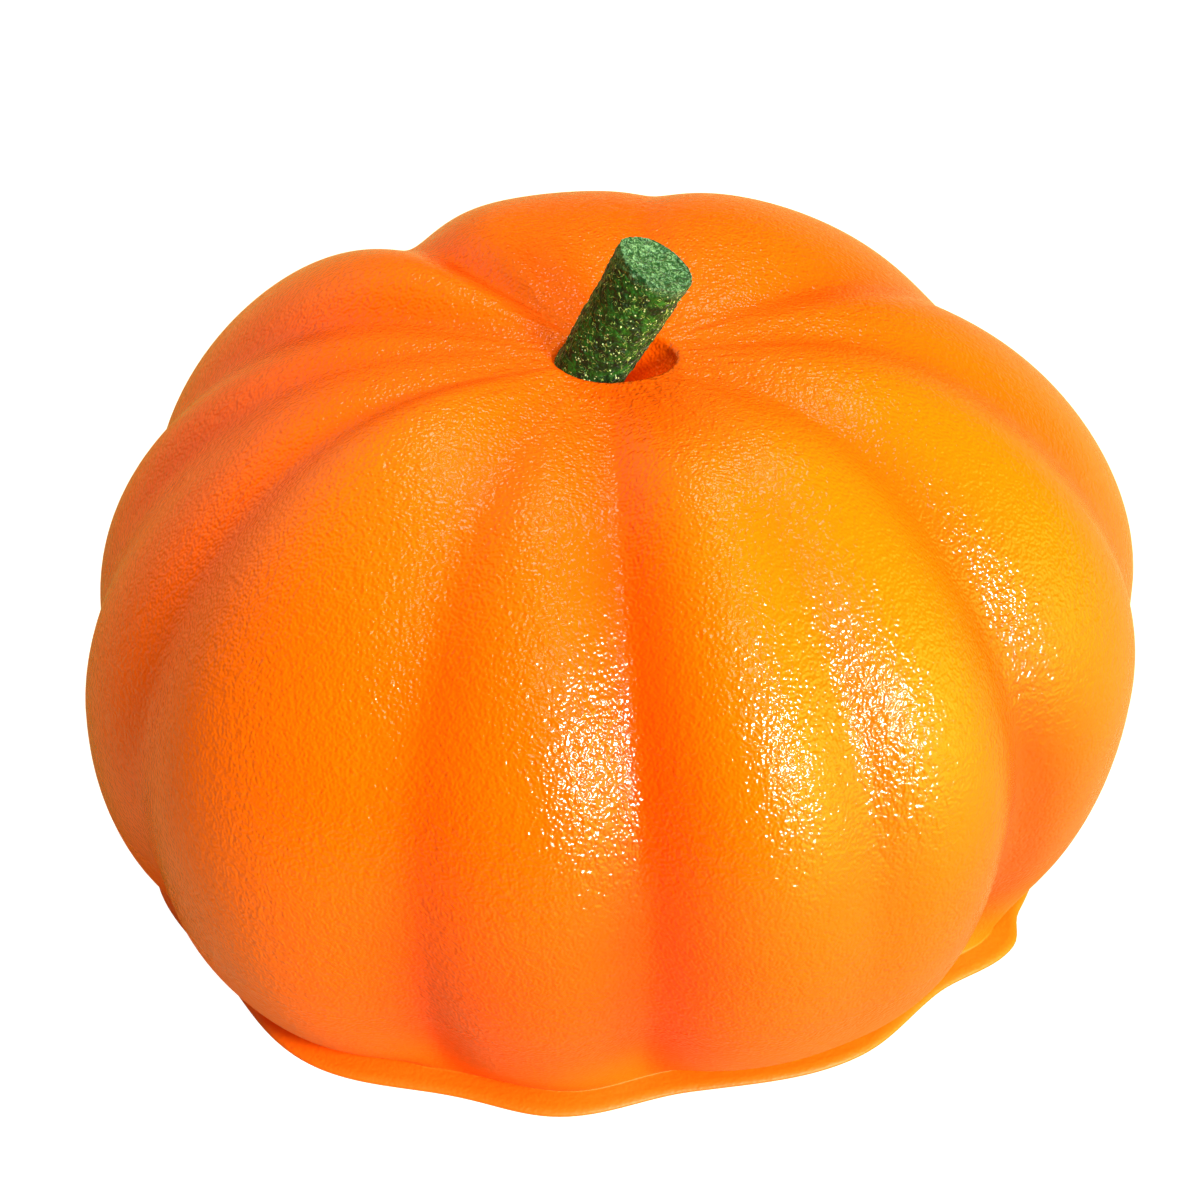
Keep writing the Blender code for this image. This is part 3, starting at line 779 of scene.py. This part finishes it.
speck_some = node(stem_tree, "MapRange", _1=SPECK_CHOICE_RANGE[0], _2=SPECK_CHOICE_RANGE[1])
speck_share = node(stem_tree, "Math", operation="MULTIPLY")
glint_speck_mix = node(stem_tree, "Mix", data_type="RGBA", _7=STEM_GLINT_SPECK)
for texture in (side_cloud, fibres, fibre_choice, specks, speck_choice):
    stem_tree.links.new(stem_place.outputs["Object"], texture.inputs["Vector"])
stem_tree.links.new(side_cloud.outputs["Fac"], side_range.inputs[0])
stem_tree.links.new(side_range.outputs[0], side_mix.inputs[0])
stem_tree.links.new(fibres.outputs["Fac"], fibre_offset.inputs[0])
stem_tree.links.new(fibre_offset.outputs[0], fibre_line.inputs[0])
stem_tree.links.new(fibre_line.outputs[0], fibre_mask.inputs[0])
stem_tree.links.new(fibre_choice.outputs["Fac"], fibre_some.inputs[0])
stem_tree.links.new(fibre_mask.outputs[0], fibre_share.inputs[0])
stem_tree.links.new(fibre_some.outputs[0], fibre_share.inputs[1])
stem_tree.links.new(fibre_share.outputs[0], fibre_mix.inputs[0])
stem_tree.links.new(side_mix.outputs[2], fibre_mix.inputs[6])
stem_tree.links.new(specks.outputs["Distance"], speck_mask.inputs[0])
stem_tree.links.new(speck_choice.outputs["Fac"], speck_some.inputs[0])
stem_tree.links.new(speck_mask.outputs[0], speck_share.inputs[0])
stem_tree.links.new(speck_some.outputs[0], speck_share.inputs[1])
stem_tree.links.new(speck_share.outputs[0], glint_speck_mix.inputs[0])
stem_tree.links.new(fibre_mix.outputs[2], glint_speck_mix.inputs[6])

# Cut end: pale green fibres, found by height along the rod
cut_cloud = node(
    stem_tree, "TexNoise", Scale=CUT_CLOUD_RATE, Detail=2.0, Roughness=0.7, Distortion=2.0
)
cut_range = node(stem_tree, "MapRange", _1=CUT_CLOUD_RANGE[0], _2=CUT_CLOUD_RANGE[1])
cut_mix = node(stem_tree, "Mix", data_type="RGBA", _6=STEM_CUT_GREEN, _7=STEM_CUT_PALE)
along = node(stem_tree, "VectorMath", operation="DOT_PRODUCT", _1=tuple(STEM_WAY))
cut_height = STEM_AT_RIM.dot(STEM_WAY) + STEM_SHOWING
cut_mask = node(
    stem_tree, "MapRange", _1=cut_height - CUT_COLOUR_FROM, _2=cut_height - CUT_COLOUR_TO
)
whole_mix = node(stem_tree, "Mix", data_type="RGBA")
stem_tree.links.new(stem_place.outputs["Object"], cut_cloud.inputs["Vector"])
stem_tree.links.new(cut_cloud.outputs["Fac"], cut_range.inputs[0])
stem_tree.links.new(cut_range.outputs[0], cut_mix.inputs[0])
stem_tree.links.new(stem_place.outputs["Object"], along.inputs[0])
stem_tree.links.new(along.outputs["Value"], cut_mask.inputs[0])
stem_tree.links.new(cut_mask.outputs[0], whole_mix.inputs[0])
stem_tree.links.new(glint_speck_mix.outputs[2], whole_mix.inputs[6])
stem_tree.links.new(cut_mix.outputs[2], whole_mix.inputs[7])
stem_tree.links.new(whole_mix.outputs[2], stem_shader.inputs["Base Color"])

stem_grain = use_group(
    stem_tree, grain, Bumps_per_Metre=STEM_GRAIN_RATE, Unevenness=STEM_UNEVENNESS
)
stem_bump = node(stem_tree, "Bump", Strength=1.0, Distance=STEM_GRAIN_HEIGHT)
stem_tree.links.new(stem_place.outputs["Object"], stem_grain.inputs["Vector"])
stem_tree.links.new(stem_grain.outputs["Height"], stem_bump.inputs["Height"])
stem_tree.links.new(stem_bump.outputs["Normal"], stem_shader.inputs["Normal"])

stem.data.materials.append(stem_finish)
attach(stem, "root")
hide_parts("stem")
